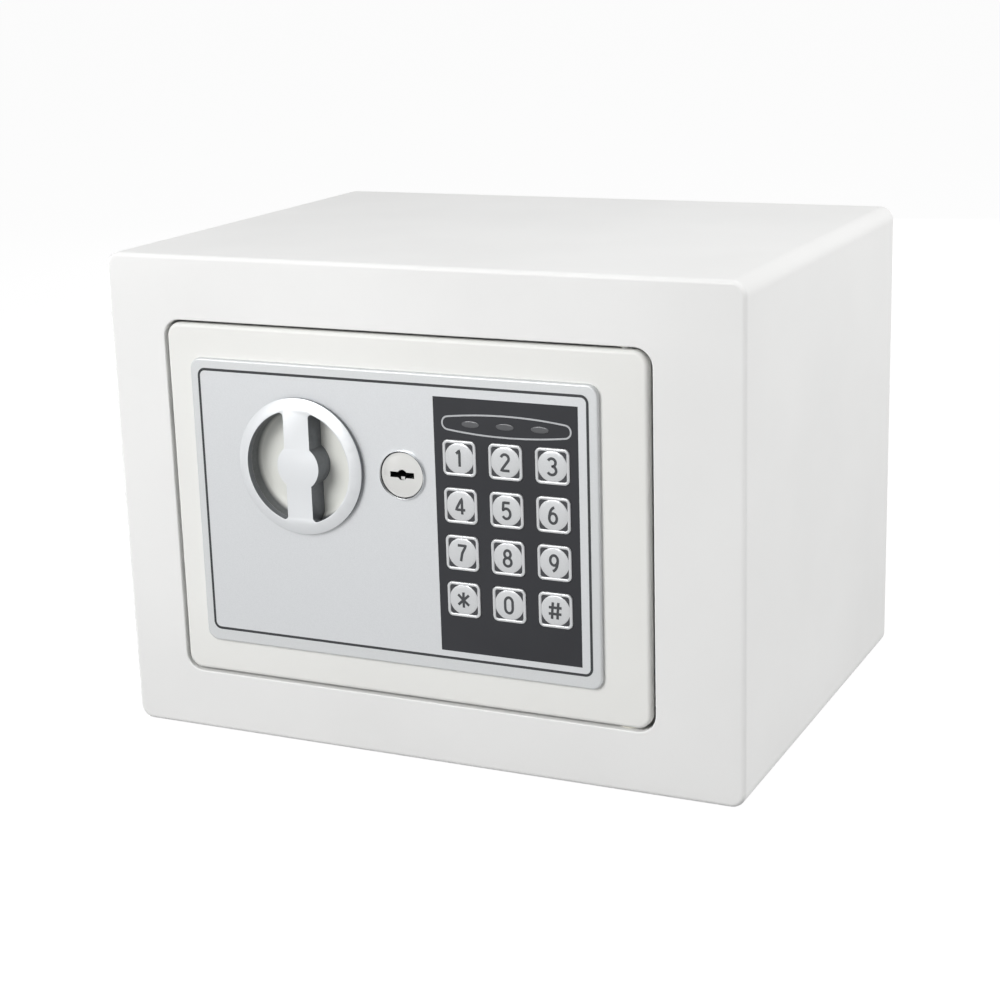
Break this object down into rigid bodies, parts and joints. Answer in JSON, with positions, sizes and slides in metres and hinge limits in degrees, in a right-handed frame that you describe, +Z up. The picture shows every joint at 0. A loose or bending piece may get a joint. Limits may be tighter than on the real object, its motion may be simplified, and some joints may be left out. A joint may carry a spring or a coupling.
{
  "type": "in-room safe",
  "caption": "Small steel room safe with a flush hinged door, a digit keypad, a recessed turning knob that throws the bolts, an override key lock and a battery compartment inside the door.",
  "frame": {"origin": "centre of the cabinet's footprint, on the surface that it stands on", "axes": "+X to the right seen from the front, +Y to the back wall, +Z up; the door is at -Y"},
  "size_m": [0.23, 0.1746, 0.17],
  "materials": {
    "cabinet_paint": "off-white satin powder coat with a very fine texture",
    "door_paint": "off-white satin powder coat",
    "panel_silver": "fine silver-grey paint on moulded plastic",
    "fascia_black": "charcoal print under a matt membrane",
    "key_silver": "silver-painted keys with a low gloss",
    "lens_smoke": "diffusing grey lens",
    "knob_silver": "light silver satin moulding",
    "knob_cream": "off-white satin moulding",
    "zinc_steel": "bright zinc plate",
    "bolt_steel": "turned and polished steel",
    "lock_chrome": "satin chrome on die-cast zinc",
    "nylon": "natural nylon",
    "black_plastic": "fine-textured black moulding",
    "mat_carpet": "short needle-felt",
    "board_green": "solder mask on laminate",
    "component_black": "moulded packages",
    "led_clear": "clear lamp bodies",
    "coil_copper": "enamelled winding under tape",
    "spring_steel": "bright spring wire",
    "cell_wrap": "plain printed sleeve",
    "contact_nickel": "nickel plate",
    "reset_red": "red moulding"
  },
  "bodies": {
    "cabinet": {"body_wrap": "cabinet_paint", "back_panel": "cabinet_paint", "front_frame": "cabinet_paint", "hinge_bushes": "nylon", "floor_mat": "mat_carpet"},
    "door": {"door_plate": "door_paint", "door_pan": "door_paint", "hinge_blocks": "zinc_steel", "hinge_pins": "bolt_steel", "door_back_cover": "door_paint", "cover_screws": "zinc_steel", "control_panel": "panel_silver", "keypad_fascia": "fascia_black", "led_lenses": "lens_smoke", "knob_bridge": "zinc_steel", "carrier_guides": "zinc_steel", "lock_body": "lock_chrome", "lock_nut": "zinc_steel", "solenoid_yoke": "zinc_steel", "solenoid_coil": "coil_copper", "plunger_spring": "spring_steel", "solenoid_screws": "zinc_steel", "circuit_board": "board_green", "key_switches": "component_black", "board_components": "component_black", "status_leds": "led_clear", "board_spacers": "nylon", "board_screws": "zinc_steel", "battery_tray": "black_plastic", "batteries": "cell_wrap", "battery_contacts": "contact_nickel"},
    "knob": {"knob_dial": "knob_silver", "knob_cup": "knob_cream", "knob_spindle": "zinc_steel", "knob_crank": "zinc_steel", "crank_screw": "zinc_steel"},
    "bolt_work": {"bolt_carrier": "zinc_steel", "locking_bolts": "bolt_steel"},
    "plunger": {"solenoid_plunger": "bolt_steel"},
    "lock_core": {"lock_plug": "lock_chrome", "lock_cam": "zinc_steel", "cam_screw": "zinc_steel"},
    "reset": {"reset_button": "reset_red"},
    "battery_door": {"battery_lid": "black_plastic"},
    "key_1": {"key_1": "key_silver"},
    "key_2": {"key_2": "key_silver"},
    "key_3": {"key_3": "key_silver"},
    "key_4": {"key_4": "key_silver"},
    "key_5": {"key_5": "key_silver"},
    "key_6": {"key_6": "key_silver"},
    "key_7": {"key_7": "key_silver"},
    "key_8": {"key_8": "key_silver"},
    "key_9": {"key_9": "key_silver"},
    "key_star": {"key_star": "key_silver"},
    "key_0": {"key_0": "key_silver"},
    "key_hash": {"key_hash": "key_silver"}
  },
  "joints": [
    {"name": "door_hinge", "type": "hinge", "parent": "cabinet", "child": "door", "pos_m": [0.0743, -0.0793, 0.08465], "axis": [0, 0, 1], "range_deg": [0, 110]},
    {"name": "knob_turn", "type": "hinge", "parent": "door", "child": "knob", "pos_m": [-0.0404, -0.085, 0.10095], "axis": [0, -1, 0], "range_deg": [0, 90]},
    {"name": "bolt_throw", "type": "slide", "parent": "door", "child": "bolt_work", "axis": [-1, 0, 0], "range_m": [0, 0.012]},
    {"name": "plunger_lift", "type": "slide", "parent": "door", "child": "plunger", "axis": [0, 0, 1], "range_m": [0, 0.005], "deforming": ["plunger_spring"]},
    {"name": "key_lock_turn", "type": "hinge", "parent": "door", "child": "lock_core", "pos_m": [-0.0024, -0.085, 0.10095], "axis": [0, 1, 0], "range_deg": [-90, 0]},
    {"name": "reset_press", "type": "slide", "parent": "door", "child": "reset", "axis": [0, -1, 0], "range_m": [0, 0.0012], "stiffness_N_per_m": 400},
    {"name": "battery_lid_slide", "type": "slide", "parent": "door", "child": "battery_door", "axis": [-1, 0, 0], "range_m": [0, 0.062]},
    {"name": "key_1_press", "type": "slide", "parent": "door", "child": "key_1", "axis": [0, 1, 0], "range_m": [0, 0.0008], "stiffness_N_per_m": 900},
    {"name": "key_2_press", "type": "slide", "parent": "door", "child": "key_2", "axis": [0, 1, 0], "range_m": [0, 0.0008], "stiffness_N_per_m": 900},
    {"name": "key_3_press", "type": "slide", "parent": "door", "child": "key_3", "axis": [0, 1, 0], "range_m": [0, 0.0008], "stiffness_N_per_m": 900},
    {"name": "key_4_press", "type": "slide", "parent": "door", "child": "key_4", "axis": [0, 1, 0], "range_m": [0, 0.0008], "stiffness_N_per_m": 900},
    {"name": "key_5_press", "type": "slide", "parent": "door", "child": "key_5", "axis": [0, 1, 0], "range_m": [0, 0.0008], "stiffness_N_per_m": 900},
    {"name": "key_6_press", "type": "slide", "parent": "door", "child": "key_6", "axis": [0, 1, 0], "range_m": [0, 0.0008], "stiffness_N_per_m": 900},
    {"name": "key_7_press", "type": "slide", "parent": "door", "child": "key_7", "axis": [0, 1, 0], "range_m": [0, 0.0008], "stiffness_N_per_m": 900},
    {"name": "key_8_press", "type": "slide", "parent": "door", "child": "key_8", "axis": [0, 1, 0], "range_m": [0, 0.0008], "stiffness_N_per_m": 900},
    {"name": "key_9_press", "type": "slide", "parent": "door", "child": "key_9", "axis": [0, 1, 0], "range_m": [0, 0.0008], "stiffness_N_per_m": 900},
    {"name": "key_star_press", "type": "slide", "parent": "door", "child": "key_star", "axis": [0, 1, 0], "range_m": [0, 0.0008], "stiffness_N_per_m": 900},
    {"name": "key_0_press", "type": "slide", "parent": "door", "child": "key_0", "axis": [0, 1, 0], "range_m": [0, 0.0008], "stiffness_N_per_m": 900},
    {"name": "key_hash_press", "type": "slide", "parent": "door", "child": "key_hash", "axis": [0, 1, 0], "range_m": [0, 0.0008], "stiffness_N_per_m": 900}
  ],
  "couplings": [
    {"joint": "knob_turn", "follows": "bolt_throw", "rad_per_m": 130.89}
  ]
}
